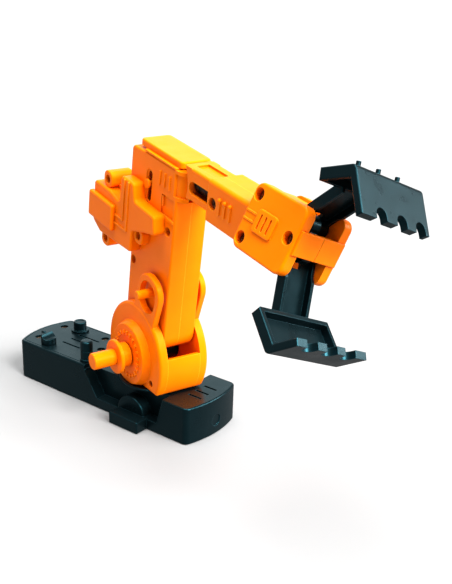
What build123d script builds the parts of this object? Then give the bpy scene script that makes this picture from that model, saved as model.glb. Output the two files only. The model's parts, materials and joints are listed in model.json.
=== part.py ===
from build123d import *
import math
import os

# Toy hydraulic robot arm kit: a base with control knobs, a turning shoulder yoke, a leaning
# column, a pivoting forearm, a rolling wrist and a two-jaw gripper.
# Millimetres, +Z up, +X towards the turret end of the base, origin under the base's middle.

# ---------------------------------------------------------------- driving dimensions
FIT = 0.05                 # radial running clearance of every shaft in its bore
GAP = 0.3                  # side clearance between pieces that move past each other
WALL = 1.8                 # moulded wall of the arm

BASE_LENGTH = 170.0        # straight part of the base
BASE_WIDTH = 56.5
BOW_LEFT = 7.0             # bulge of the rounded ends
BOW_RIGHT = 5.0
CONTROL_TOP = 31.5         # top of the control half
TURRET_TOP = 28.2          # top of the turret half
STEP_X = -13.8             # where the two halves meet
SHELL_BOTTOM = 0.8         # the feet lift the shell this far
BASE_WALL = 2.6

TURRET_X = 34.5            # vertical turning axis
SHOULDER_Z = 51.3          # height of the shoulder axis
YAW = -19.1                # turn of the turret at rest
PITCH = 8.1                # forward lean of the column at rest
ROLL = 22.4                # roll of the wrist at rest

DRUM_R = 37.8
DRUM_BOTTOM = -21.7        # flat underside of the drum, below the shoulder axis
CHEEK_OUT = 19.7
CHEEK_IN = 13.1
SHAFT_R = 5.8              # shoulder axle
STUB_R = 6.0               # its near end, which takes the hand lever

COLUMN_X = 26.8            # half depth of the column
COLUMN_Y = 12.6            # half width of the column
COLUMN_LOW = 10.0
HEAD_TOP = 146.0
BORE_Y = COLUMN_Y - WALL   # half width of the space inside the column

ELBOW = (8.0, 137.0)       # elbow axis, in the column's X and Z
CROSSHEAD = (-8.75, 125.5) # pin in the column's upright slot
TONGUE_Y = 6.2             # half width of the forearm's root
TONGUE_SIDE = TONGUE_Y + GAP   # inner faces of the elbow bosses
NOSE_Y = 6.6               # half gap between the two nose ears
ARM_Y = 10.4               # half width of the forearm channel
ARM_REACH = 27.2           # the wide channel keeps outside this radius from the elbow
WRIST_Z = 141.5            # roll axis height, in the column's Z
ELBOW_PIN_R = 3.0
BARREL_R = 9.0             # elbow cylinder
RAM_R = 2.5
RAM_PISTON_R = 7.0
CROSS_R = 1.9              # crosshead pin

PLATE_OUT = 18.5           # outer faces of the gripper plates
PLATE_IN = 11.8
CLAW_Y = 11.4              # half width of a jaw arm
PAD_Y = 27.3               # half width of a jaw pad
UPPER_PIVOT = (135.0, 11.0)
LOWER_PIVOT = (139.5, -3.3)
JAW_GEAR_R = math.dist(UPPER_PIVOT, LOWER_PIVOT) / 2   # pitch radius of the meshing sectors
LOWER_DROP = 11.0          # the lower jaw rests this much wider open than the upper
PIN_R = 2.5
GEAR_Y = 3.0               # half width of the toothed sectors
GRIP_ROD_R = 2.6

SCREW_R = 1.3
SCREW_HEAD = 1.6
SCREW_SHANK = 5.0

# ---------------------------------------------------------------- frames of the moving stages
YOKE_FRAME = Pos(TURRET_X, 0, SHOULDER_Z) * Rot(0, 0, YAW)
ARM_FRAME = YOKE_FRAME * Rot(0, PITCH, 0)
GRIP_FRAME = ARM_FRAME * Pos(0, 0, WRIST_Z) * Rot(-ROLL, 0, 0)


# ---------------------------------------------------------------- small shape helpers
def block(x, y, z):
    """Box that fills the given (low, high) ranges."""
    spans = [high - low for low, high in (x, y, z)]
    middles = [(high + low) / 2 for low, high in (x, y, z)]
    return Pos(*middles) * Box(*spans)


def soft_block(x, y, z, radius):
    """The same box with every edge rounded."""
    solid = block(x, y, z)
    return fillet(solid.edges(), radius)


def rod_x(radius, low, high, y=0.0, z=0.0):
    return Pos((low + high) / 2, y, z) * Rot(0, 90, 0) * Cylinder(radius, high - low)


def rod_y(radius, low, high, x=0.0, z=0.0):
    return Pos(x, (low + high) / 2, z) * Rot(90, 0, 0) * Cylinder(radius, abs(high - low))


def rod_z(radius, low, high, x=0.0, y=0.0):
    return Pos(x, y, (low + high) / 2) * Cylinder(radius, high - low)


def polygon(points, radius=0.0):
    """Closed outline, with its corners rounded when a radius is given."""
    face = make_face(Polyline(*points, close=True))
    if radius:
        face = fillet(face.vertices(), radius)
    return face


def across(sketch, low, high):
    """Extrude an X-Z outline from y = low to y = high."""
    return Pos(0, high, 0) * extrude(Plane.XZ * sketch, amount=high - low)


def capsule(start, end, radius):
    """Round-ended slot outline between two points."""
    length = math.dist(start, end)
    angle = math.degrees(math.atan2(end[1] - start[1], end[0] - start[0]))
    middle = ((start[0] + end[0]) / 2, (start[1] + end[1]) / 2)
    return Pos(*middle) * Rot(0, 0, angle) * SlotCenterToCenter(length, 2 * radius)


def outer_edges(solid, low_side):
    """Edges of the face furthest towards -Y or +Y."""
    faces = solid.faces().sort_by(Axis.Y)
    return (faces[0] if low_side else faces[-1]).edges()


def cross_screw(radius, depth, at, face_y, inward):
    """Pan-head screw lying along Y, its head sunk below the face."""
    head = face_y + inward * depth
    seat = head + inward * SCREW_HEAD
    screw = rod_y(radius, head, seat, *at)
    for turn in (45, 135):
        drive = Rot(0, turn, 0) * Box(1.4 * radius, 1.4, 0.7)
        screw -= Pos(at[0], head, at[1]) * drive
    return screw + rod_y(SCREW_R, seat, seat + inward * SCREW_SHANK, *at)


def top_screw(x, y, top):
    """Upright self-tapping screw whose head top is at the given height."""
    head = rod_z(2.7, top - SCREW_HEAD, top, x, y)
    for turn in (45, 135):
        head -= Pos(x, y, top) * Rot(0, 0, turn) * Box(4.0, 0.7, 1.4)
    return head + rod_z(SCREW_R, top - SCREW_HEAD - 9.0, top - SCREW_HEAD, x, y)


# ---------------------------------------------------------------- base
CONTROL_FRONT = (-64.0, -17.4)
CONTROL_BACK = (-63.0, 16.6)
CONTROL_POST = (-18.8, -20.0)
STEM_R = 2.5
BASE_SCREWS = [(-79.0, -14.0), (-79.0, 14.0), (-24.0, 1.0), (-36.0, 18.0)]
RECESS_Y = 19.2            # back wall of the side recesses
RECESS_FLOOR = 8.0
SPINDLE_R = 8.0
FOOT_X = 33.0              # middle of the half-round foot bosses
FOOT_Z = 8.2
FOOT_R = 12.5


def base_plan():
    """Plan of the base: straight sides, gently bowed ends, rounded corners."""
    half = BASE_WIDTH / 2
    end = BASE_LENGTH / 2
    edges = [
        Line((-end, -half), (end, -half)),
        ThreePointArc((end, -half), (end + BOW_RIGHT, 0), (end, half)),
        Line((end, half), (-end, half)),
        ThreePointArc((-end, half), (-end - BOW_LEFT, 0), (-end, -half)),
    ]
    face = make_face(edges)
    return fillet(face.vertices(), 4.5)


def rounded_slab(top):
    """Plan raised to a height, with a soft top rim."""
    slab = Pos(0, 0, SHELL_BOTTOM) * extrude(base_plan(), amount=top - SHELL_BOTTOM)
    return fillet(slab.faces().sort_by(Axis.Z)[-1].edges(), 1.4)


def recess_outline(grow):
    """Slanted-end side recess of the turret half, optionally enlarged."""
    top = CONTROL_TOP + 5
    return polygon([
        (-13.8 - grow, top), (63.4 + grow, top), (63.2 + grow, 27.0),
        (58.0 + grow, RECESS_FLOOR - grow), (-0.6 - grow, RECESS_FLOOR - grow), (-13.0 - grow, 26.0),
    ])


def side_foot():
    """Half-round boss in the front recess with the foot ledge below it."""
    face_y = -BASE_WIDTH / 2
    boss = rod_y(FOOT_R, face_y, -RECESS_Y, FOOT_X, FOOT_Z)
    boss = fillet(outer_edges(boss, True), 1.0)
    boss &= block((0, 80), (-40, 0), (FOOT_Z, 40))
    pedestal = block((FOOT_X - FOOT_R, FOOT_X + FOOT_R), (face_y, -RECESS_Y), (SHELL_BOTTOM, FOOT_Z))
    ledge = soft_block((21.5, 49.0), (-39.0, face_y + 2), (0, 9.0), 0.9)
    return boss + pedestal + ledge


def base_shell():
    control = rounded_slab(CONTROL_TOP) & block((-100, STEP_X), (-40, 40), (0, 60))
    turret = rounded_slab(TURRET_TOP) & block((STEP_X, 100), (-40, 40), (0, 60))
    shell = control + turret

    inner = offset(base_plan(), amount=-BASE_WALL)
    room = Pos(0, 0, SHELL_BOTTOM) * extrude(inner, amount=TURRET_TOP - 2.4 - SHELL_BOTTOM)
    upper_room = Pos(0, 0, SHELL_BOTTOM) * extrude(inner, amount=CONTROL_TOP - 2.4 - SHELL_BOTTOM)
    room += upper_room & block((-100, STEP_X - BASE_WALL), (-40, 40), (0, 60))
    for side in (False, True):
        guard = across(recess_outline(2.4), -40, -RECESS_Y + 2.4)
        recess = across(recess_outline(0), -40, -RECESS_Y)
        foot = side_foot()
        if side:
            guard = mirror(guard, about=Plane.XZ)
            recess = mirror(recess, about=Plane.XZ)
            foot = mirror(foot, about=Plane.XZ)
        room -= guard
        shell -= recess
        shell += foot
    shell -= room

    rim = offset(base_plan(), amount=-2.4) - offset(base_plan(), amount=-3.0)
    groove = Pos(0, 0, CONTROL_TOP - 0.5) * extrude(rim, amount=2)
    shell -= groove & block((-100, STEP_X - 3), (-40, 40), (0, 60))

    for x, y in BASE_SCREWS:
        shell += rod_z(4.6, CONTROL_TOP - 12, CONTROL_TOP - 2, x, y)
        shell -= rod_z(3.25, CONTROL_TOP - 3.0, CONTROL_TOP + 1, x, y)
        shell -= rod_z(SCREW_R, CONTROL_TOP - 15, CONTROL_TOP, x, y)
    for x, y in (CONTROL_FRONT, CONTROL_BACK, CONTROL_POST):
        shell += rod_z(5.0, CONTROL_TOP - 6, CONTROL_TOP - 2, x, y)
        shell -= rod_z(STEM_R + FIT, 0, CONTROL_TOP + 1, x, y)
    shell -= rod_z(SPINDLE_R + 0.2, 20, 40, TURRET_X, 0)

    slot_end = {-8.5: -38.0, 0.7: -38.0, 9.8: -35.0}
    for y, x_end in slot_end.items():
        shell -= block((-57.5, x_end), (y - 0.9, y + 0.9), (CONTROL_TOP - 1.0, CONTROL_TOP + 1))
    for y in (-8.3, 0.0, 9.2):
        shell -= block((71.3, 82.5), (y - 1.0, y + 1.0), (TURRET_TOP - 1.0, TURRET_TOP + 1))
    shell -= rod_x(4.6, 89.2, 95, 0, 11)
    return shell


def base_cover():
    """Flat bottom plate that closes the base."""
    plate = Pos(0, 0, SHELL_BOTTOM) * extrude(offset(base_plan(), amount=-BASE_WALL - 0.2), amount=2.2)
    return plate


FEET = [(0.0, 0.0), (-78.0, -17.0), (-78.0, 17.0), (76.0, -17.0), (76.0, 17.0)]


def rubber_feet():
    pads = [rod_z(5.5, 0, SHELL_BOTTOM, x, y) for x, y in FEET]
    return [chamfer(pad.faces().sort_by(Axis.Z)[0].edges(), 0.3) for pad in pads]


def base_screws():
    return [top_screw(x, y, CONTROL_TOP - 1.3) for x, y in BASE_SCREWS]


def ballast_plate():
    """Steel weight that keeps the reaching arm from tipping the base."""
    return soft_block((-74, -22), (-20, 20), (3.0, 8.0), 0.6)


def valve_manifold():
    """Block under the two knobs whose bores take their stems."""
    body = soft_block((-74, -52), (-23.5, 23.5), (10.0, 22.0), 0.8)
    body += block((-72, -54), (-10, 10), (8.0, 10.5))
    for x, y in (CONTROL_FRONT, CONTROL_BACK):
        body -= rod_z(STEM_R + FIT, 12, 30, x, y)
    for y in (-18, -6, 6, 18):
        body += rod_x(2.0, -52.5, -45, y, 16)
        body -= rod_x(1.0, -60, -44, y, 16)
    return body


def turret_spindle():
    """Fixed post the turret turns on, standing on the bottom plate."""
    post = rod_z(16, 3.0, 6.0, TURRET_X, 0) + rod_z(SPINDLE_R - FIT, 3.0, 33.2, TURRET_X, 0)
    for turn in range(0, 360, 60):
        post += Pos(TURRET_X, 0, 0) * Rot(0, 0, turn) * block((7, 14.5), (-0.8, 0.8), (5, 20))
    return post - rod_z(1.6, 20, 40, TURRET_X, 0)


def spindle_cap():
    """Washer and screw that hold the turret down on the spindle."""
    washer = rod_z(11.0, 33.2, 34.6, TURRET_X, 0)
    screw = rod_z(4.0, 34.6, 36.6, TURRET_X, 0) + rod_z(1.6, 21, 35, TURRET_X, 0)
    screw -= Pos(TURRET_X, 0, 36.6) * Box(6.0, 1.0, 1.6)
    return washer + screw


def control_knob_front():
    """Turning knob whose top is hollowed out behind a small pointer."""
    x, y = CONTROL_FRONT
    low = CONTROL_TOP + GAP
    knob = rod_z(6.0, low, low + 7.7, x, y)
    knob = fillet(knob.faces().sort_by(Axis.Z)[-1].edges(), 0.8)
    knob -= Pos(x + 3.2, y, low + 9.4) * Rot(90, 0, 0) * Cylinder(5.2, 14)
    knob += soft_block((x - 7.2, x - 3.8), (y - 1.1, y + 1.1), (low + 4.5, low + 8.6), 0.5)
    return knob + rod_z(STEM_R, 14, low + 1, x, y)


def control_knob_back():
    """Turning knob with a flared foot and a shallow dished top."""
    x, y = CONTROL_BACK
    low = CONTROL_TOP + GAP
    knob = rod_z(7.2, low, low + 1.4, x, y) + rod_z(5.2, low, low + 8.2, x, y)
    knob = fillet(knob.faces().sort_by(Axis.Z)[-1].edges(), 0.7)
    knob -= rod_z(3.7, low + 7.7, low + 9, x, y)
    return knob + rod_z(STEM_R, 14, low + 1, x, y)


def control_post():
    """Tall selector: ribbed lower half, collar line and domed cap."""
    x, y = CONTROL_POST
    low = CONTROL_TOP + GAP
    post = rod_z(4.7, low, low + 15.7, x, y)
    post = fillet(post.faces().sort_by(Axis.Z)[-1].edges(), 1.9)
    post -= rod_z(6, low + 7.6, low + 8.1, x, y) - rod_z(4.2, low + 7, low + 9, x, y)
    post += rod_z(5.3, low, low + 1.2, x, y)
    return post + rod_z(STEM_R, 22, low + 1, x, y)


# ---------------------------------------------------------------- turret (yoke frame, shoulder axis = Y)
WINDOW_Z = 6.6             # top of the front and back walls, above the axis
LUG_LEAN = 21.0            # direction of the stop lugs, forward of upright
LUG_HALF = 14.05
LUG_TOP = 68.3
LUG_BAND = 3.6
LUG_Y = (14.6, 19.3)
DIAL_TICKS = 22
CHEEK_SCREWS = [(24.8, -14.8), (-24.8, -14.8)]


def below_drum():
    return block((-60, 60), (-60, 60), (DRUM_BOTTOM - 60, DRUM_BOTTOM))


def turntable_ring():
    low = TURRET_TOP + 0.2 - SHOULDER_Z
    ring = rod_z(28.0, low, DRUM_BOTTOM)
    ring = chamfer(ring.faces().sort_by(Axis.Z)[-1].edges(), 0.5)
    return ring - rod_z(SPINDLE_R, low - 1, DRUM_BOTTOM + 1)


def yoke_shell():
    """Curved front and back walls with the flat floor, between the two cheeks."""
    wall = rod_y(DRUM_R, -CHEEK_IN, CHEEK_IN) - rod_y(DRUM_R - 2.6, -CHEEK_IN, CHEEK_IN)
    wall -= block((-60, 60), (-60, 60), (WINDOW_Z, 60))
    floor = block((-30.5, 30.5), (-CHEEK_IN, CHEEK_IN), (DRUM_BOTTOM, DRUM_BOTTOM + 2.6))
    shell = wall + floor - below_drum()
    return shell - rod_z(SPINDLE_R, DRUM_BOTTOM - 1, DRUM_BOTTOM + 5)


def lug(low, high):
    """Arched stop lug, leaning forward, with the window the stop peg swings in."""
    tilt = Rot(0, LUG_LEAN, 0)
    outline = polygon([
        (-LUG_HALF, 30), (LUG_HALF, 30), (LUG_HALF, LUG_TOP), (-LUG_HALF, LUG_TOP),
    ])
    corners = outline.vertices().group_by(Axis.Y)[-1]
    outline = fillet(corners, 12.5)
    half = LUG_HALF - LUG_BAND
    window = polygon([(-half, 40), (half, 40), (half, LUG_TOP - 4.6), (-half, LUG_TOP - 4.6)], 9.5)
    plate = across(outline, low, high)
    plate = fillet(outer_edges(plate, True) + outer_edges(plate, False), 0.9)
    return tilt * (plate - across(window, low - 1, high + 1))


def cheek(near):
    """Drum side with its stop lug; the near one faces -Y."""
    disc = rod_y(DRUM_R, -CHEEK_OUT, -CHEEK_IN) - below_drum()
    disc = fillet(outer_edges(disc, True), 2.2)
    solid = disc + lug(-LUG_Y[1], -LUG_Y[0])
    solid -= rod_y(SHAFT_R + FIT, -30, 0)
    for x, z in CHEEK_SCREWS:
        solid -= rod_y(2.6, -CHEEK_OUT - 1, -CHEEK_OUT + 3.2, x, z)
    if not near:
        solid = mirror(solid, about=Plane.XZ)
    return solid


def cheek_screws():
    screws = []
    for x, z in CHEEK_SCREWS:
        for side in (-1, 1):
            face = side * (CHEEK_OUT - 1.6)
            head = rod_y(2.3, face - side * SCREW_HEAD, face, x, z)
            head -= Pos(x, face, z) * Box(3.2, 1.4, 0.6)
            head -= Pos(x, face, z) * Box(0.6, 1.4, 3.2)
            screws.append(head)
    return screws


def dial_disc():
    """Raised bevelled disc on the near cheek with a ring of ticks."""
    face = 25.0
    disc = Pos(0, -(CHEEK_OUT + face) / 2, 0) * Rot(90, 0, 0) * Cone(24.5, 22.25, face - CHEEK_OUT)
    disc = fillet(outer_edges(disc, True), 0.9)
    disc -= below_drum()
    for index in range(DIAL_TICKS):
        tick = block((-0.85, 0.85), (-face - 0.9, -face + 0.4), (14.6, 17.6))
        disc += Rot(0, index * 360 / DIAL_TICKS, 0) * tick
    return disc - rod_y(SHAFT_R + FIT, -40, 0)


# ---------------------------------------------------------------- upper arm (arm frame)
SLOT_X = -8.3
SLOT_Z = (115.6, 131.8)    # centres of the upright slot's round ends
SLOT_R = 2.7
PEG = (10.1, 52.7)
HEAD_RIBS = (5.5, 11.5, 17.5)
COVER_TOP = 151.4
COLUMN_SCREWS = [(20.0, 102.0), (-21.8, 63.7)]
COLUMN_WELL = 4.8          # depth of the wells the screw heads sit in
TAIL_GUARD = 123.6         # bottom of the front slot the forearm's root passes through
STUB_END = -53.1
FLANGE_FACE = -35.9        # outer face of the shoulder flange


def shoulder_shaft():
    """Axle through both cheeks, its near end standing out as a slightly thicker stub."""
    stub = rod_y(STUB_R, STUB_END, FLANGE_FACE - GAP)
    stub = chamfer(outer_edges(stub, True), 0.6)
    return stub + rod_y(SHAFT_R, STUB_END + 2, CHEEK_OUT + 2.6)


def shoulder_knob():
    """Collar and flange on the near end of the axle."""
    near = -25.8 - GAP
    collar = rod_y(9.0, FLANGE_FACE + 2.5, near)
    flange = rod_y(12.5, FLANGE_FACE, FLANGE_FACE + 2.5)
    flange = fillet(outer_edges(flange, True), 1.1)
    return collar + flange - rod_y(SHAFT_R, -60, 0)


def shaft_cap():
    """Push-on cap at the far end of the axle."""
    low = CHEEK_OUT + GAP
    cap = rod_y(10.0, low, low + 4.2)
    cap = fillet(outer_edges(cap, False), 1.4)
    return cap - rod_y(SHAFT_R, 0, CHEEK_OUT + 2.6)


def shoulder_hub():
    """Black hub on the axle whose tongue stands up inside the column."""
    side = CHEEK_IN - GAP
    hub = rod_y(9.6, -side, side)
    hub = fillet(outer_edges(hub, True) + outer_edges(hub, False), 1.0)
    hub += block((-8, 8), (-8, 8), (0, 30))
    return hub - rod_y(SHAFT_R, -30, 30)


def column_outline(inset):
    """Side outline of the column and its head."""
    front = COLUMN_X - inset
    rear = -COLUMN_X + inset
    head_front = 24.0 - inset
    head_rear = -33.7 + inset
    outline = polygon([
        (rear, COLUMN_LOW + inset), (front, COLUMN_LOW + inset),
        (front, 126.0), (head_front, 128.0), (head_front, HEAD_TOP - inset),
        (head_rear, HEAD_TOP - 1.0 - inset), (head_rear, 121.0), (rear, 113.0),
    ])
    corners = outline.vertices()
    low_corners = corners.group_by(Axis.Y)[0]
    outline = fillet(low_corners, 13.5)
    rear_top = outline.vertices().filter_by(lambda v: v.Y > 130 and v.X < 0)
    return fillet(rear_top, 3.5)


def nose_half(depth_x, depth_y, low, high):
    """One D-shaped layer of the nose on the front of the head."""
    plan = Pos(24.0, 0) * Ellipse(depth_x, depth_y)
    layer = Pos(0, 0, low) * extrude(plan, amount=high - low)
    return layer & block((23.0, 60), (-40, 40), (0, 200))


def nose():
    """Front of the head: a half-round wall between two flanges, split for the forearm."""
    wall = nose_half(8.4, 11.2, 127.0, 145.0)
    flanges = nose_half(10.0, COLUMN_Y, 143.6, HEAD_TOP) + nose_half(10.0, COLUMN_Y, 125.8, 128.4)
    return wall + flanges


def column_solid():
    """Whole column and head, hollow, before it is split into two halves."""
    body = across(column_outline(0), -COLUMN_Y, COLUMN_Y)
    body = fillet(outer_edges(body, True) + outer_edges(body, False), 1.3)
    body -= across(column_outline(2.2), -BORE_Y, BORE_Y)
    body += nose()
    body -= block((-60, 80), (-NOSE_Y, NOSE_Y), (TAIL_GUARD, 160)) & block((15, 60), (-20, 20), (100, 160))
    body -= block((-8.1, 8.1), (-8.1, 8.1), (0, 14))
    for side in (-1, 1):
        body += rod_y(5.4, side * TONGUE_SIDE, side * BORE_Y, *ELBOW)
    guide = capsule((SLOT_X, SLOT_Z[0]), (SLOT_X, SLOT_Z[1]), SLOT_R)
    body -= across(guide, -20, 20)
    return body - rod_y(ELBOW_PIN_R, -BORE_Y - 0.6, BORE_Y + 0.6, *ELBOW)


def column_features(body):
    """Slots, ribs, screw wells and peg hole on the near face."""
    rim = capsule((SLOT_X, SLOT_Z[0]), (SLOT_X, SLOT_Z[1]), SLOT_R + 1.4)
    body -= across(rim, -COLUMN_Y - 1, -COLUMN_Y + 0.7)
    for x in HEAD_RIBS:
        rib = across(capsule((x, 130.6), (x, 138.9), 0.9), -COLUMN_Y - 0.9, -COLUMN_Y + 0.3)
        body += fillet(outer_edges(rib, True), 0.4)
    panel = polygon([(9.0, 111.5), (24.4, 111.5), (24.4, 125.0), (9.0, 125.0)], 1.0)
    body -= across(panel, -COLUMN_Y - 1, -COLUMN_Y + 1.1)
    hook = block((10.2, 11.6), (-COLUMN_Y - 0.2, -COLUMN_Y + 1.3), (117, 124.2))
    lip = block((17.8, 26.0), (-COLUMN_Y - 0.9, -COLUMN_Y + 0.6), (109.6, 111.4))
    body += hook + lip
    return body


def wells(body, side):
    """Screw wells in one half of the column, on the given side."""
    for x, z in COLUMN_SCREWS:
        face = side * COLUMN_Y
        body += rod_y(3.9, 0, face - side * 0.3, x, z)
        body -= rod_y(3.2, face - side * COLUMN_WELL, face + side, x, z)
        body -= rod_y(SCREW_R, 0, face, x, z)
    return body


def column_near():
    body = column_solid() & block((-80, 80), (-40, 0), (0, 200))
    body = wells(column_features(body), -1)
    body -= rod_y(SCREW_R, -COLUMN_Y - 1, -COLUMN_Y + 4, *BLOCK_BOSSES[2])
    return body - rod_y(3.2, -30, 0, *PEG)


def column_far():
    body = column_solid() & block((-80, 80), (0, 40), (0, 200))
    body = wells(body, 1)
    return body - rod_y(3.2, 0, 30, *PEG)


def stop_peg():
    """Peg through the column that swings in both lug windows."""
    peg = rod_y(3.2, -27.0, 22.0, *PEG)
    return chamfer(outer_edges(peg, True) + outer_edges(peg, False), 0.5)


def column_screws():
    screws = []
    for x, z in COLUMN_SCREWS:
        for side in (-1, 1):
            screws.append(cross_screw(2.7, COLUMN_WELL - SCREW_HEAD, (x, z), side * COLUMN_Y, -side))
    return screws


def head_cover():
    """Thick plate on top of the head, grooved underneath so the forearm can rise."""
    plate = block((-27.0, 26.0), (-COLUMN_Y + 2.2, COLUMN_Y), (HEAD_TOP + 1.2, COVER_TOP))
    plate = fillet(plate.edges().filter_by(Axis.Z), 3.0)
    plate = fillet(plate.faces().sort_by(Axis.Z)[-1].edges(), 1.2)
    plate += block((-24, 20), (-9.5, 9.5), (HEAD_TOP, HEAD_TOP + 1.2))
    plate += soft_block((20.0, 29.0), (8.6, COLUMN_Y), (HEAD_TOP + 1.4, COVER_TOP - 1.2), 0.8)
    plate -= block((2, 40), (-NOSE_Y, NOSE_Y), (HEAD_TOP - 3, COVER_TOP - 2.2))
    return plate


def cover_strip():
    """Thin strip along the near side of the head, under the thick plate."""
    strip = block((-16.0, 23.5), (-COLUMN_Y - 0.4, -9.6), (HEAD_TOP, HEAD_TOP + 1.2))
    return fillet(strip.edges().filter_by(Axis.Z), 1.0)


def elbow_axle():
    return rod_y(ELBOW_PIN_R, -BORE_Y - 0.6, BORE_Y + 0.6, *ELBOW)


def elbow_barrel():
    """Hydraulic cylinder inside the column; its ram moves the crosshead pin."""
    x = CROSSHEAD[0]
    tube = rod_z(BARREL_R, 33, 96, x, 0) - rod_z(RAM_PISTON_R + FIT, 37, 92, x, 0)
    tube -= rod_z(RAM_R + FIT, 90, 100, x, 0)
    tube += rod_x(2.2, x + BARREL_R - 0.4, x + 16, 0, 42) - rod_x(1.1, x, x + 17, 0, 42)
    return tube - rod_x(1.1, x + 6, x + 17, 0, 42)


BLOCK_FACE = -21.0         # near face of the elbow block
BLOCK_OUTLINE = [
    (-71.5, 107.0), (-48.0, 107.0), (-33.0, 103.5), (-32.0, 124.0), (-14.8, 124.0),
    (-11.5, 112.3), (14.5, 111.5), (17.0, 99.0), (1.5, 94.8), (-13.0, 90.0),
    (-13.4, 73.6), (-60.0, 70.5), (-71.5, 76.0),
]
BLOCK_BOSSES = [(-55.0, 112.6), (-54.2, 67.6), (-7.6, 88.6)]
BLOCK_WELL = 6.8           # depth of its screw wells
BLOCK_RIB_CORNERS = [(-26.2, 93.2), (-20.4, 87.2)]


def elbow_block():
    """Stepped housing on the near side, with three screw bosses reaching back."""
    plate = across(polygon(BLOCK_OUTLINE, 3.0), BLOCK_FACE, -COLUMN_Y)
    plate = fillet(outer_edges(plate, True), 1.6)
    for x, z in BLOCK_BOSSES:
        back = -1.5 if x < -40 else -COLUMN_Y
        outline = polygon([(x - 6, z - 6), (x + 6, z - 6), (x + 6, z + 6), (x - 6, z + 6)], 4.8)
        boss = across(outline, BLOCK_FACE + 2.2, back)
        plate += fillet(outer_edges(boss, True), 0.9)
    rear = block((-64.0, -34.2), (-COLUMN_Y, -1.5), (73.5, 110.0))
    plate += fillet(rear.edges().filter_by(Axis.Y), 2.0)
    plate += block((-34.5, -COLUMN_X), (-COLUMN_Y, -1.5), (78.0, 108.0))
    for x, z in BLOCK_BOSSES:
        plate -= rod_y(3.3, BLOCK_FACE - 1, BLOCK_FACE + BLOCK_WELL, x, z)
        plate -= rod_y(SCREW_R, BLOCK_FACE, -COLUMN_Y + 3.6, x, z)
    for x, z in BLOCK_RIB_CORNERS:
        line = ((x, 122.4), (x, z), (-36.4, z))
        for start, end in zip(line, line[1:]):
            plate += across(capsule(start, end, 0.8), BLOCK_FACE - 0.8, BLOCK_FACE + 0.4)
    return plate


def elbow_pad():
    """Square raised pad on the rear half of the elbow block."""
    pad = block((-73.6, -37.4), (BLOCK_FACE - 3.2, BLOCK_FACE), (79.8, 99.4))
    pad = fillet(pad.edges().filter_by(Axis.Y), 2.0)
    return fillet(outer_edges(pad, True), 1.5)


def block_screws():
    return [cross_screw(2.9, BLOCK_WELL - SCREW_HEAD, at, BLOCK_FACE, 1) for at in BLOCK_BOSSES]


# ---------------------------------------------------------------- elbow ram
def elbow_ram():
    """Ram rod with its piston and the eye that carries the crosshead pin."""
    x, z = CROSSHEAD
    ram = rod_z(RAM_R, 60, z - 3, x, 0) + rod_z(RAM_PISTON_R, 60, 66, x, 0)
    eye = block((x - 3.4, x + 3.4), (-3.6, 3.6), (z - 4.4, z + 4.0))
    ram += fillet(eye.edges().filter_by(Axis.Y), 1.5)
    return ram - rod_y(CROSS_R, -10, 10, x, z)


def crosshead_pin():
    """Pin across the column, with a round button that shows in the near slot."""
    button = rod_y(3.3, -COLUMN_Y - 1.8, -COLUMN_Y - GAP, *CROSSHEAD)
    button = fillet(outer_edges(button, True), 0.7)
    return button + rod_y(CROSS_R, -COLUMN_Y - 1.0, COLUMN_Y + 1.0, *CROSSHEAD)


# ---------------------------------------------------------------- forearm (arm frame)
ARM_Z = (131.0, 152.0)
ARM_END = 59.5
SLEEVE_END = 102.5
SLEEVE_Z = (125.3, 153.0)
SLEEVE_Y = (-11.5, 14.5)
SLEEVE_SCREW = (65.1, 139.0)
GRIP_BARREL_R = 7.4
WRIST_SHAFT_R = 6.0
WRIST_COLLAR = (76.0, 79.0)
FORK_OUTLINE = [(7.0, 4.0), (-5.0, 4.5), (-29.0, -5.4), (-28.0, -14.6), (-12.0, -16.6), (2.0, -6.0)]


def forearm_channel():
    """Hollow forearm with a tongue through the nose and a forked tail behind the elbow.

    Its wide part is scooped back to a cylinder about the elbow, so it clears the head as it bends.
    """
    ex, ez = ELBOW
    low, high = ARM_Z
    body = block((ex, ARM_END), (-ARM_Y, ARM_Y), ARM_Z)
    body = fillet(body.edges().filter_by(Axis.X), 1.6)
    body -= block((ex, ARM_END + 1), (-ARM_Y + 2.2, ARM_Y - 2.2), (low + 2.2, high - 2.2))
    body += block((ex, ex + 30.5), (-ARM_Y, ARM_Y), (low + 0.1, high - 0.1))
    body -= rod_y(ARM_REACH, -30, 30, ex, ez)
    body -= across(capsule((40.8, 139.9), (57.5, 139.9), 4.2), -20, 0)
    body -= block((ex + 27, ARM_END + 1), (-5.2, 4.2), (high - 1.5, high + 1))
    body -= rod_x(GRIP_BARREL_R + 0.1, 37.4, 70, 0, WRIST_Z)

    tongue = block((ex - 7.0, ex + 29.0), (-TONGUE_Y, TONGUE_Y), (low, low + 9.0))
    fork = across(Pos(ex, ez) * polygon(FORK_OUTLINE, 2.5), -TONGUE_Y, TONGUE_Y)
    fork -= block((ex - 40, ex - 7.0), (-4.0, 4.0), (100, 160))
    eye = rod_y(6.2, -TONGUE_Y, TONGUE_Y, ex, ez)
    body += tongue + fork + eye
    path = capsule((ex - 23.5, ez - 10.3), (ex - 13.5, ez - 11.5), CROSS_R + 1.0)
    body -= across(path, -20, 20)
    return body - rod_y(ELBOW_PIN_R + FIT, -20, 20, ex, ez)


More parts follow.
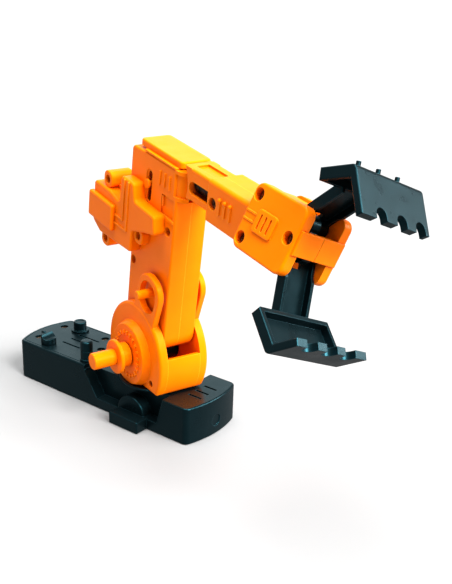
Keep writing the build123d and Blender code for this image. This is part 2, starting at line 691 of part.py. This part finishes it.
def sleeve_solid():
    """Outer sleeve that carries the wrist, before it is split along its length."""
    body = block((ARM_END, SLEEVE_END), SLEEVE_Y, SLEEVE_Z)
    body = fillet(body.edges().filter_by(Axis.X), 2.6)
    body -= rod_x(GRIP_BARREL_R + 0.1, ARM_END - 1, 70.3, 0, WRIST_Z)
    body -= rod_x(WRIST_SHAFT_R + FIT, 70, SLEEVE_END + 1, 0, WRIST_Z)
    low, high = WRIST_COLLAR
    body -= rod_x(WRIST_SHAFT_R + 2.6, low - GAP, high + GAP, 0, WRIST_Z)
    return body


def sleeve_near():
    body = sleeve_solid() & block((0, 200), (-40, 0), (0, 300))
    face = SLEEVE_Y[0]
    for x in (73.0, 78.5, 84.0):
        body += across(capsule((x, 135.4), (x, 143.6), 0.9), face - 0.9, face + 0.3)
        body += Pos(x, face - 0.3, 144.2) * Sphere(1.5)
    body -= rod_y(3.9, face - 1, face + 3.4, *SLEEVE_SCREW)
    return body - rod_y(SCREW_R, face, 0, *SLEEVE_SCREW)


def sleeve_far():
    body = sleeve_solid() & block((0, 200), (0, 40), (0, 300))
    face = SLEEVE_Y[1]
    body -= rod_y(3.9, face - 3.4, face + 1, *SLEEVE_SCREW)
    return body - rod_y(SCREW_R, 0, face, *SLEEVE_SCREW)


def forearm_screws():
    near = cross_screw(3.0, 1.8, SLEEVE_SCREW, SLEEVE_Y[0], 1)
    far = cross_screw(3.0, 1.8, SLEEVE_SCREW, SLEEVE_Y[1], -1)
    reach = rod_x(GRIP_BARREL_R + 0.1, 50, 80, 0, WRIST_Z)
    return [near - reach, far - reach]


def grip_barrel():
    """Hydraulic cylinder in the forearm, seen through its side slot."""
    tube = rod_x(GRIP_BARREL_R, 38, 70, 0, WRIST_Z) - rod_x(5.2, 41, 71, 0, WRIST_Z)
    for x in (44, 51, 58, 65):
        tube -= rod_x(8.0, x, x + 0.8, 0, WRIST_Z) - rod_x(7.0, x - 1, x + 2, 0, WRIST_Z)
    return tube


# ---------------------------------------------------------------- gripper (grip frame: X reach, Z up)
PLATE_X = (104.0, 149.0)
PLATE_Z = (-18.0, 21.5)
PLATE_HOLES = [(108.9, 14.5), (109.2, -11.6), (143.2, 2.4)]
PLATE_WELL = 5.2           # depth of their screw wells


def wrist_shaft():
    """Hollow wrist axle with its collar, flange and the wall that joins the two plates."""
    shaft = rod_x(WRIST_SHAFT_R, 72, 104)
    shaft += rod_x(WRIST_SHAFT_R + 2.3, *WRIST_COLLAR)
    shaft += rod_x(10.5, SLEEVE_END + GAP, 105)
    wall = block((PLATE_X[0], PLATE_X[0] + 4.0), (-PLATE_IN, PLATE_IN), (-14.0, 17.0))
    roof = block((PLATE_X[0], 126.0), (-PLATE_IN, PLATE_IN), (17.0, 19.6))
    return shaft + wall + roof - rod_x(GRIP_ROD_R + FIT, 60, 120)


def gripper_plate(near):
    """Rounded side plate; the near one carries the slotted badge."""
    outline = polygon([
        (PLATE_X[0], PLATE_Z[0]), (PLATE_X[1], PLATE_Z[0]),
        (PLATE_X[1], PLATE_Z[1]), (PLATE_X[0], PLATE_Z[1]),
    ], 5.5)
    plate = across(outline, -PLATE_OUT, -PLATE_IN)
    plate = fillet(outer_edges(plate, True), 1.4)
    for x, z in PLATE_HOLES:
        plate -= rod_y(3.9, -PLATE_OUT - 1, -PLATE_OUT + PLATE_WELL, x, z)
        plate -= rod_y(SCREW_R, -PLATE_OUT, -PLATE_IN + 1, x, z)
    if not near:
        return mirror(plate, about=Plane.XZ)
    badge = block((115.5, 132.0), (-PLATE_OUT - 1.3, -PLATE_OUT + 0.2), (-5.0, 8.5))
    badge = fillet(badge.edges().filter_by(Axis.Y), 2.0)
    badge = fillet(outer_edges(badge, True), 0.6)
    for x in (119.6, 123.8, 128.0):
        badge -= across(capsule((x, -2.0), (x, 5.4), 0.75), -PLATE_OUT - 2, -PLATE_OUT - 0.4)
    plate += badge
    for z in (-0.6, 4.2):
        plate += across(capsule((105.5, z), (115.5, z), 0.55), -PLATE_OUT - 0.5, -PLATE_OUT + 0.2)
    return plate


def gripper_crossbar():
    """Bar across the mouth between the two plates, with a fine centre seam."""
    bar = block((147.0, 150.4), (-PLATE_IN, PLATE_IN), (-4.6, 9.4))
    bar += block((149.0, 150.4), (-PLATE_OUT + 1.5, PLATE_OUT - 1.5), (-4.6, 9.4))
    bar = fillet(bar.faces().sort_by(Axis.X)[-1].edges(), 0.6)
    return bar - block((150.0, 151), (-0.2, 0.2), (-6, 12))


def gripper_screws():
    screws = []
    for at in PLATE_HOLES:
        for side in (-1, 1):
            screws.append(cross_screw(3.1, PLATE_WELL - SCREW_HEAD, at, side * PLATE_OUT, -side))
    trim = block((0, 200), (-PLATE_IN, PLATE_IN), (-50, 50))
    return [screw - trim for screw in screws]


def jaw_pins():
    return [rod_y(PIN_R, -PLATE_IN, PLATE_IN, *pivot) for pivot in (UPPER_PIVOT, LOWER_PIVOT)]


def grip_rod():
    """Push rod through the wrist axle, with a piston in the barrel and a cross plate in front."""
    rod = rod_x(GRIP_ROD_R, 52, 120)
    rod += rod_x(5.0, 52, 57)
    head = block((117.0, 121.0), (-9.0, 9.0), (-6.0, 6.0))
    return rod + fillet(head.edges().filter_by(Axis.X), 1.5)


# ---------------------------------------------------------------- jaws
# Each pad is given by the rear end, bend and tip of its outer face, from the jaw's pivot.
UPPER_PAD = [(15.8, 32.3), (36.2, 41.8), (54.2, 22.6)]
LOWER_PAD = [(19.0, 33.5), (43.0, 41.8), (56.8, 24.6)]
UPPER_NOTCHES = (-11.8, 4.6, 20.0)
LOWER_NOTCHES = (-15.5, -0.5, 14.0)
UPPER_STUDS = (-22.5, -7.0, 8.5)
UPPER_ARM_ANGLE = 52.5
LOWER_ARM_ANGLE = 56.6
ARM_OUTER = 3.9            # jaw arm's outer face, beyond the pivot
ARM_DEPTH = 6.2
ARM_LENGTH = 50.0
HUB_R = 4.8
WAIST = (12.0, 15.5)       # the arm's sides are shallower up to here, to pass the cross bar
WAIST_LOW = -0.9
PAD_THICK = 6.8
EDGE_THICK = 4.4
RIM = 2.6                  # rim around the pad's tray
TRAY_FLOOR = 1.8
NOTCH_R = 4.1
NOTCH_DEPTH = 2.4          # straight part of a notch, before its round end
GEAR_TEETH = 16
MESH_BEARING = math.degrees(math.atan2(LOWER_PIVOT[1] - UPPER_PIVOT[1], LOWER_PIVOT[0] - UPPER_PIVOT[0]))


def pad_frame(start, end):
    """Frame at one end of a pad plate, X along the plate and Z out of its outer face."""
    angle = math.degrees(math.atan2(end[1] - start[1], end[0] - start[0]))
    return Pos(start[0], 0, start[1]) * Rot(0, -angle, 0)


def moved_inward(start, end, depth):
    """The line between two points of the outer face, moved into the plate."""
    length = math.dist(start, end)
    shift_x = (end[1] - start[1]) / length * depth
    shift_z = (start[0] - end[0]) / length * depth
    return [(x + shift_x, z + shift_z) for x, z in (start, end)]


def crossing(first, second):
    """Point where two lines, each given by two points, cross."""
    (ax, az), (bx, bz) = first
    (cx, cz), (dx, dz) = second
    spread = (bx - ax) * (dz - cz) - (bz - az) * (dx - cx)
    share = ((cx - ax) * (dz - cz) - (cz - az) * (dx - cx)) / spread
    return (ax + share * (bx - ax), az + share * (bz - az))


def jaw_arm(angle, rear, bend):
    """Channel-shaped arm from the pivot to the rear rim of the pad."""
    low = ARM_OUTER - ARM_DEPTH
    profile = [
        (0, WAIST_LOW), (WAIST[0], WAIST_LOW), (WAIST[1], low), (ARM_LENGTH, low),
        (ARM_LENGTH, ARM_OUTER), (0, ARM_OUTER),
    ]
    arm = across(polygon(profile), -CLAW_Y, CLAW_Y)
    arm -= block((-10, ARM_LENGTH + 10), (-CLAW_Y + 2.0, CLAW_Y - 2.0), (low - 1, ARM_OUTER - 2.0))
    arm += rod_y(HUB_R, -CLAW_Y, CLAW_Y)
    arm -= block((-9, 9.4), (-GEAR_Y, GEAR_Y), (-9, 9))
    arm -= rod_y(PIN_R + FIT, -30, 30)
    arm = Rot(0, -angle, 0) * arm
    above_pad = block((-10, 60), (-30, 30), (-1.5, 60))
    past_rim = block((RIM, 60), (-30, 30), (-60, 0))
    return arm - pad_frame(rear, bend) * (above_pad + past_rim)


def jaw_pad(rear, bend, tip, notches):
    """Bent pad: a framed tray, then a plate with a notched edge."""
    tray_line = moved_inward(rear, bend, PAD_THICK)
    edge_line = moved_inward(bend, tip, EDGE_THICK)
    outline = polygon([rear, bend, tip, edge_line[1], crossing(tray_line, edge_line), tray_line[0]])
    knuckle = outline.vertices().sort_by_distance((bend[0], bend[1], 0))[0]
    pad = across(fillet(knuckle, 3.2), -PAD_Y, PAD_Y)
    pad = fillet(outer_edges(pad, True) + outer_edges(pad, False), 0.9)
    tray_end = math.dist(rear, bend) - EDGE_THICK + 0.2
    tray = block((RIM, tray_end), (-PAD_Y + RIM, PAD_Y - RIM), (-PAD_THICK - 1, -TRAY_FLOOR))
    pad -= pad_frame(rear, bend) * tray
    reach = math.dist(bend, tip)
    for y in notches:
        notch = rod_z(NOTCH_R, -EDGE_THICK - 1, 1, reach - NOTCH_DEPTH, y)
        notch += block((reach - NOTCH_DEPTH, reach + 5), (y - NOTCH_R, y + NOTCH_R), (-EDGE_THICK - 1, 1))
        pad -= pad_frame(bend, tip) * notch
    return pad


def upper_claw():
    rear, bend, tip = UPPER_PAD
    claw = jaw_arm(UPPER_ARM_ANGLE, rear, bend) + jaw_pad(rear, bend, tip, UPPER_NOTCHES)
    for y in UPPER_STUDS:
        claw += Pos(bend[0] - 2.4, y, bend[1] - 0.6) * Rot(0, -19, 0) * Cylinder(1.3, 3.6)
    return Pos(UPPER_PIVOT[0], 0, UPPER_PIVOT[1]) * claw


def lower_jaw(shape):
    """Turn a shape about the upper pivot over, into the lower jaw."""
    flipped = mirror(Pos(-UPPER_PIVOT[0], 0, -UPPER_PIVOT[1]) * shape, about=Plane.XY)
    return Pos(LOWER_PIVOT[0], 0, LOWER_PIVOT[1]) * Rot(0, LOWER_DROP, 0) * flipped


def lower_claw():
    rear, bend, tip = LOWER_PAD
    claw = jaw_arm(LOWER_ARM_ANGLE, rear, bend) + jaw_pad(rear, bend, tip, LOWER_NOTCHES)
    return lower_jaw(Pos(UPPER_PIVOT[0], 0, UPPER_PIVOT[1]) * claw)


def gear_sector(toward, shift):
    """Toothed sector on an upper-jaw pivot, teeth centred on a bearing and shifted part of a tooth."""
    pitch = 360 / GEAR_TEETH
    root = JAW_GEAR_R - 1.05
    tip = JAW_GEAR_R + 0.65
    sector = Circle(root)
    for index in range(-2, 3):
        middle = toward + (index + shift) * pitch
        flank = [(root - 0.4, -9.0), (tip, -2.4), (tip, 2.4), (root - 0.4, 9.0)]
        turned = [(radius, math.radians(middle + turn)) for radius, turn in flank]
        sector += polygon([(radius * math.cos(turn), radius * math.sin(turn)) for radius, turn in turned])
    solid = across(sector, -GEAR_Y, GEAR_Y) - rod_y(PIN_R + FIT, -30, 30)
    return Pos(UPPER_PIVOT[0], 0, UPPER_PIVOT[1]) * solid


def upper_gear():
    return gear_sector(MESH_BEARING, 0.0)


def lower_gear():
    """The other sector, half a tooth out; it is turned over with its jaw, so its bearing is too."""
    return lower_jaw(gear_sector(-(MESH_BEARING + 180 + LOWER_DROP), 0.5))


# ---------------------------------------------------------------- assembly
def pieces():
    """Every node with its solids, in the frame of its own stage."""
    world = Pos(0, 0, 0)
    return {
        "base_shell": (world, base_shell()),
        "base_cover": (world, base_cover()),
        "rubber_feet": (world, rubber_feet()),
        "base_screws": (world, base_screws()),
        "ballast_plate": (world, ballast_plate()),
        "valve_manifold": (world, valve_manifold()),
        "turret_spindle": (world, turret_spindle()),
        "spindle_cap": (world, spindle_cap()),
        "control_knob_front": (world, control_knob_front()),
        "control_knob_back": (world, control_knob_back()),
        "control_post": (world, control_post()),
        "turntable_ring": (YOKE_FRAME, turntable_ring()),
        "yoke_shell": (YOKE_FRAME, yoke_shell()),
        "yoke_cheek_near": (YOKE_FRAME, cheek(True)),
        "yoke_cheek_far": (YOKE_FRAME, cheek(False)),
        "cheek_screws": (YOKE_FRAME, cheek_screws()),
        "dial_disc": (YOKE_FRAME, dial_disc()),
        "shoulder_shaft": (ARM_FRAME, shoulder_shaft()),
        "shoulder_knob": (ARM_FRAME, shoulder_knob()),
        "shaft_cap": (ARM_FRAME, shaft_cap()),
        "shoulder_hub": (ARM_FRAME, shoulder_hub()),
        "column_near": (ARM_FRAME, column_near()),
        "column_far": (ARM_FRAME, column_far()),
        "stop_peg": (ARM_FRAME, stop_peg()),
        "column_screws": (ARM_FRAME, column_screws()),
        "head_cover": (ARM_FRAME, head_cover()),
        "cover_strip": (ARM_FRAME, cover_strip()),
        "elbow_axle": (ARM_FRAME, elbow_axle()),
        "elbow_barrel": (ARM_FRAME, elbow_barrel()),
        "elbow_block": (ARM_FRAME, elbow_block()),
        "elbow_pad": (ARM_FRAME, elbow_pad()),
        "block_screws": (ARM_FRAME, block_screws()),
        "elbow_ram": (ARM_FRAME, elbow_ram()),
        "crosshead_pin": (ARM_FRAME, crosshead_pin()),
        "forearm_channel": (ARM_FRAME, forearm_channel()),
        "sleeve_near": (ARM_FRAME, sleeve_near()),
        "sleeve_far": (ARM_FRAME, sleeve_far()),
        "forearm_screws": (ARM_FRAME, forearm_screws()),
        "grip_barrel": (ARM_FRAME, grip_barrel()),
        "wrist_shaft": (GRIP_FRAME, wrist_shaft()),
        "gripper_plate_near": (GRIP_FRAME, gripper_plate(True)),
        "gripper_plate_far": (GRIP_FRAME, gripper_plate(False)),
        "gripper_crossbar": (GRIP_FRAME, gripper_crossbar()),
        "gripper_screws": (GRIP_FRAME, gripper_screws()),
        "jaw_pins": (GRIP_FRAME, jaw_pins()),
        "grip_rod": (GRIP_FRAME, grip_rod()),
        "upper_claw": (GRIP_FRAME, upper_claw()),
        "upper_gear": (GRIP_FRAME, upper_gear()),
        "lower_claw": (GRIP_FRAME, lower_claw()),
        "lower_gear": (GRIP_FRAME, lower_gear()),
    }


os.makedirs("parts", exist_ok=True)
for name, (frame, shape) in pieces().items():
    solids = shape if isinstance(shape, list) else [shape]
    placed = [frame * solid for solid in solids]
    export_step(placed[0] if len(placed) == 1 else Compound(children=placed), f"parts/{name}.step")
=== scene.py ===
import json
import math

import bpy
from mathutils import Matrix, Vector

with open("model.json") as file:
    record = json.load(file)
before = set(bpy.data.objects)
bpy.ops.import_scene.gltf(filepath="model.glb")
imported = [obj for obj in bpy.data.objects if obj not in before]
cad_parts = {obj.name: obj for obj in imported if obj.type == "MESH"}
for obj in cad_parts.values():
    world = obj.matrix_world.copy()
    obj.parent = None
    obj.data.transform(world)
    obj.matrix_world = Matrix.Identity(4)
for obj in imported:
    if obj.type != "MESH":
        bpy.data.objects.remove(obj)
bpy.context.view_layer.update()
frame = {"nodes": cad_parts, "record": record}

# Looks of the toy hydraulic arm: satin orange and black mouldings with painted highlights along edges and
# painted shade in corners, screws painted dark brown to stand in for the shade of their holes, soft studio
# light.
# Metres, in the frame of the CAD model.
MM = 0.001

# ---------------------------------------------------------------- colours (linear)
WHITE = (1.0, 1.0, 1.0)

# Each surface: the two colours of its cloud, then its painted highlight along edges and its painted shade
# in corners and wells.
ORANGE_TONES = (
    (0.98, 0.178, 0.0),
    (0.94, 0.160, 0.0),
    (1.0, 0.40, 0.015),
    (0.60, 0.060, 0.0),
)
BLACK_TONES = (
    (0.0012, 0.0030, 0.0036),
    (0.0017, 0.0040, 0.0048),
    (0.009, 0.032, 0.040),
    (0.0006, 0.0014, 0.0018),
)
STEEL_TONES = (
    (0.52, 0.53, 0.55),
    (0.33, 0.33, 0.35),
    (0.75, 0.75, 0.77),
    (0.16, 0.16, 0.17),
)
# Screws painted dark brown, standing in for the shade down in their holes.
SCREW_TONES = (
    (0.16, 0.10, 0.06),
    (0.07, 0.045, 0.03),
    (0.34, 0.24, 0.15),
    (0.03, 0.02, 0.015),
)
RUBBER_TONES = (
    (0.012, 0.012, 0.013),
    (0.018, 0.017, 0.016),
    (0.04, 0.04, 0.04),
    (0.005, 0.005, 0.005),
)
ORANGE_SHEEN = (1.0, 0.55, 0.06)
BLACK_SHEEN = (0.18, 0.80, 1.0)
FLOOR = (0.245, 0.245, 0.245)
FLOOR_WARM = (0.254, 0.253, 0.251)

# ---------------------------------------------------------------- surface texture
EDGE_RADIUS = 0.45 * MM    # apparent softness of every edge
HIGHLIGHT_RADIUS = 1.6 * EDGE_RADIUS    # how far the painted edge highlight reaches in
SHADE_REACH = 5.0 * MM   # how near a neighbour must be for painted shade in a corner
SHADE_MOST = 0.85        # strongest blend towards the painted shade tone
HIGHLIGHT_LEAST = 0.45          # weakest and strongest blend towards the painted highlight tone
HIGHLIGHT_MOST = 0.85
GRAIN_DEPTH = 0.05 * MM
RAY_SAMPLES = 6            # for softened normals; the painted corner shade takes fewer
SHADE_SAMPLES = 4

# Noise scales, in waves per metre.
CLOUD_SCALE = 38.0
GLOSS_SCALE = 90.0
# Patches where the painted edge highlight is stronger.
HIGHLIGHT_PATCH_SCALE = 210.0
GRAIN_SCALE = 2600.0
FLOOR_SCALE = 3.0

# ---------------------------------------------------------------- studio
FLOOR_HALF = 25.0
SURROUND = 0.30            # even light from all round
# Each sun: the direction it stands in, strength, apparent size in degrees, colour.
SUNS = {
    "key": ((0.75, -0.05, 0.66), 11.2, 34.0, WHITE),
    "rim": ((0.72, 0.60, 0.35), 2.8, 30.0, WHITE),
    "top": ((-0.05, -0.10, 0.99), 4.8, 45.0, WHITE),
    "back": ((-0.61, 0.70, 0.36), 0.50, 50.0, (0.75, 0.96, 1.0)),
}

# The main view: bearing and height round the object, and framing.
VIEW_AZIMUTH = math.radians(41.17)
VIEW_ELEVATION = math.radians(20.87)
VIEW_ROLL = math.radians(0.13)
VIEW_PLACE = (0.4277, -0.4575, 0.3193)
VIEW_LENS = 55.53
VIEW_SENSOR = 36.0
VIEW_SHIFT = (0.1296, 0.0106)


# ---------------------------------------------------------------- shader nodes
def node(tree, kind, **values):
    """Adds a shader node and fills its inputs by name."""
    made = tree.nodes.new(kind)
    for name, value in values.items():
        made.inputs[name.replace("_", " ")].default_value = value
    return made


def noise(tree, place, scale, detail, roughness=0.5):
    """Noise at the object's own coordinates."""
    made = node(tree, "ShaderNodeTexNoise", Scale=scale, Detail=detail, Roughness=roughness)
    tree.links.new(place, made.inputs["Vector"])
    return made.outputs["Fac"]


def remap(tree, source, old, new):
    """Moves a value from one range to another, held at both ends."""
    made = node(tree, "ShaderNodeMapRange", From_Min=old[0], From_Max=old[1], To_Min=new[0], To_Max=new[1])
    tree.links.new(source, made.inputs["Value"])
    return made.outputs["Result"]


def ramp(tree, source, stops):
    """Colour ramp fed by a factor; stops are (position, colour)."""
    made = tree.nodes.new("ShaderNodeValToRGB")
    tree.links.new(source, made.inputs["Fac"])
    for element, (position, colour) in zip(made.color_ramp.elements, stops):
        element.position = position
        element.color = (*colour, 1.0)
    return made.outputs["Color"]


def blend(tree, factor, first, second):
    """Mixes towards the second colour by a factor; the first is a socket."""
    mix = tree.nodes.new("ShaderNodeMix")
    mix.data_type = "RGBA"
    mix.inputs["B"].default_value = (*second, 1.0)
    tree.links.new(factor, mix.inputs["Factor"])
    tree.links.new(first, mix.inputs["A"])
    return mix.outputs["Result"]


def softened_normal(tree, radius):
    """The surface normal as if every edge were rounded to a radius."""
    bevel = node(tree, "ShaderNodeBevel", Radius=radius)
    bevel.samples = RAY_SAMPLES
    return bevel.outputs["Normal"]


def edge_highlight_mask(tree):
    """White along edges, from how far the softened normal leans off the true one; it places the painted
    highlight.
    """
    dot = tree.nodes.new("ShaderNodeVectorMath")
    dot.operation = "DOT_PRODUCT"
    tree.links.new(softened_normal(tree, HIGHLIGHT_RADIUS), dot.inputs[0])
    tree.links.new(tree.nodes.new("ShaderNodeNewGeometry").outputs["Normal"], dot.inputs[1])
    return remap(tree, dot.outputs["Value"], (0.985, 0.80), (0.0, 1.0))


def painted_shade_mask(tree):
    """White in corners and wells, where the surroundings are close; it places the painted shade."""
    shade = node(tree, "ShaderNodeAmbientOcclusion", Distance=SHADE_REACH)
    shade.samples = SHADE_SAMPLES
    return remap(tree, shade.outputs["AO"], (0.80, 0.25), (0.0, SHADE_MOST))


# ---------------------------------------------------------------- materials
def surface_colour(tree, place, tones):
    """Cloudy colour with painted highlights in patches along edges and painted shade in corners."""
    colour, warm, edge_highlight, corner_shade = tones
    cloud = ramp(tree, noise(tree, place, CLOUD_SCALE, 4.0, 0.55), [(0.35, colour), (0.72, warm)])
    highlight_patches = remap(tree, noise(tree, place, HIGHLIGHT_PATCH_SCALE, 5.0, 0.65), (0.30, 0.62), (HIGHLIGHT_LEAST, HIGHLIGHT_MOST))
    highlight_amount = tree.nodes.new("ShaderNodeMath")
    highlight_amount.operation = "MULTIPLY"
    tree.links.new(edge_highlight_mask(tree), highlight_amount.inputs[0])
    tree.links.new(highlight_patches, highlight_amount.inputs[1])
    # Painted highlight: edges turn towards the lighter edge tone, in patches.
    highlighted = blend(tree, highlight_amount.outputs["Value"], cloud, edge_highlight)
    # Painted shade: corners and wells turn towards the darker corner tone.
    return blend(tree, painted_shade_mask(tree), highlighted, corner_shade)


def surface_roughness(tree, place, roughness):
    """Gloss that wanders a little from place to place."""
    gloss = noise(tree, place, GLOSS_SCALE, 6.0, 0.6)
    return remap(tree, gloss, (0.3, 0.7), (roughness - 0.05, roughness + 0.07))


def surface_normal(tree, place, grain):
    """Softened edges under a fine moulded grain."""
    bump = node(tree, "ShaderNodeBump", Strength=grain, Distance=GRAIN_DEPTH)
    tree.links.new(noise(tree, place, GRAIN_SCALE, 2.0), bump.inputs["Height"])
    tree.links.new(softened_normal(tree, EDGE_RADIUS), bump.inputs["Normal"])
    return bump.outputs["Normal"]


def satin(name, tones, roughness, grain, sheen=WHITE, shine=0.5, metallic=0.0):
    material = bpy.data.materials.new(name)
    material.use_nodes = True
    tree = material.node_tree
    shader = tree.nodes["Principled BSDF"]
    place = tree.nodes.new("ShaderNodeTexCoord").outputs["Object"]
    tree.links.new(surface_colour(tree, place, tones), shader.inputs["Base Color"])
    tree.links.new(surface_roughness(tree, place, roughness), shader.inputs["Roughness"])
    tree.links.new(surface_normal(tree, place, grain), shader.inputs["Normal"])
    shader.inputs["Metallic"].default_value = metallic
    shader.inputs["Specular IOR Level"].default_value = shine
    shader.inputs["Specular Tint"].default_value = (*sheen, 1.0)
    return material


def kit_materials():
    """The material of each slot in the record."""
    return {
        "orange_plastic": satin("satin_orange", ORANGE_TONES, 0.34, 0.25, sheen=ORANGE_SHEEN, shine=0.20),
        "black_plastic": satin("satin_black", BLACK_TONES, 0.30, 0.30, sheen=BLACK_SHEEN, shine=0.32),
        "steel": satin("plated_steel", STEEL_TONES, 0.30, 0.15, metallic=1.0),
        "blackened_steel": satin("screws_dark_for_hole_shade", SCREW_TONES, 0.38, 0.20, metallic=1.0),
        "rubber": satin("matt_rubber", RUBBER_TONES, 0.70, 0.50),
    }


def paint_nodes():
    """Every carried-over CAD node takes the material of its record slot."""
    materials = kit_materials()
    slots = {entry["node"]: entry["material_slot"] for entry in frame["record"]["subparts"]}
    for name, thing in frame["nodes"].items():
        material = materials[slots[name]]
        mesh = thing.data
        if not mesh.materials:
            mesh.materials.append(material)
        for index in range(len(mesh.materials)):
            mesh.materials[index] = material


# ---------------------------------------------------------------- floor, light and view
def floor():
    """Pale sheet under the object, large enough to fill the view; reflections don't show it."""
    half = FLOOR_HALF
    mesh = bpy.data.meshes.new("studio_floor")
    corners = [(-half, -half, 0), (half, -half, 0), (half, half, 0), (-half, half, 0)]
    mesh.from_pydata(corners, [], [(0, 1, 2, 3)])
    sheet = bpy.data.objects.new("studio_floor", mesh)
    bpy.context.scene.collection.objects.link(sheet)
    sheet.visible_glossy = False
    material = bpy.data.materials.new("pale_floor")
    material.use_nodes = True
    tree = material.node_tree
    shader = tree.nodes["Principled BSDF"]
    cloud = node(tree, "ShaderNodeTexNoise", Scale=FLOOR_SCALE, Detail=3.0)
    tone = ramp(tree, cloud.outputs["Fac"], [(0.3, FLOOR), (0.7, FLOOR_WARM)])
    tree.links.new(tone, shader.inputs["Base Color"])
    shader.inputs["Roughness"].default_value = 0.8
    shader.inputs["Specular IOR Level"].default_value = 0.1
    mesh.materials.append(material)


def sun(name, towards, strength, spread, colour):
    """Broad even light arriving from a direction."""
    data = bpy.data.lights.new(name, "SUN")
    data.energy = strength
    data.angle = math.radians(spread)
    data.color = colour
    lamp = bpy.data.objects.new(name, data)
    lamp.rotation_euler = Vector(towards).to_track_quat("Z", "Y").to_euler()
    bpy.context.scene.collection.objects.link(lamp)


def surround():
    """Dim even light from all round, behind a backdrop that the view sees as white as the floor."""
    world = bpy.data.worlds.new("studio")
    world.use_nodes = True
    tree = world.node_tree
    dim = tree.nodes["Background"]
    dim.inputs["Color"].default_value = (*WHITE, 1.0)
    dim.inputs["Strength"].default_value = SURROUND
    backdrop = node(tree, "ShaderNodeBackground", Strength=1.0)
    backdrop.inputs["Color"].default_value = (*WHITE, 1.0)
    path = tree.nodes.new("ShaderNodeLightPath")
    either = tree.nodes.new("ShaderNodeMixShader")
    tree.links.new(path.outputs["Is Camera Ray"], either.inputs[0])
    tree.links.new(dim.outputs["Background"], either.inputs[1])
    tree.links.new(backdrop.outputs["Background"], either.inputs[2])
    tree.links.new(either.outputs["Shader"], tree.nodes["World Output"].inputs["Surface"])
    bpy.context.scene.world = world


def lights():
    """Strong key from the gripper side, a low rim, soft light from above, a faint sheen from behind."""
    for name, (towards, strength, spread, colour) in SUNS.items():
        sun(name, towards, strength, spread, colour)
    surround()
    bpy.context.scene.view_settings.view_transform = "Standard"


def camera():
    """The main view, looking along its bearing and height."""
    level = math.cos(VIEW_ELEVATION)
    back = Vector((
        math.sin(VIEW_AZIMUTH) * level,
        -math.cos(VIEW_AZIMUTH) * level,
        math.sin(VIEW_ELEVATION),
    ))
    right = Vector((math.cos(VIEW_AZIMUTH), math.sin(VIEW_AZIMUTH), 0.0))
    up = back.cross(right)
    turn = Matrix((right, up, back)).transposed().to_4x4() @ Matrix.Rotation(VIEW_ROLL, 4, "Z")
    data = bpy.data.cameras.new("view")
    data.lens = VIEW_LENS
    data.sensor_width = VIEW_SENSOR
    data.sensor_fit = "AUTO"
    data.shift_x, data.shift_y = VIEW_SHIFT
    data.clip_start = 0.01
    eye = bpy.data.objects.new("view", data)
    eye.matrix_world = Matrix.Translation(VIEW_PLACE) @ turn
    bpy.context.scene.collection.objects.link(eye)
    bpy.context.scene.camera = eye


# ---------------------------------------------------------------- assembly
paint_nodes()
floor()
lights()
camera()
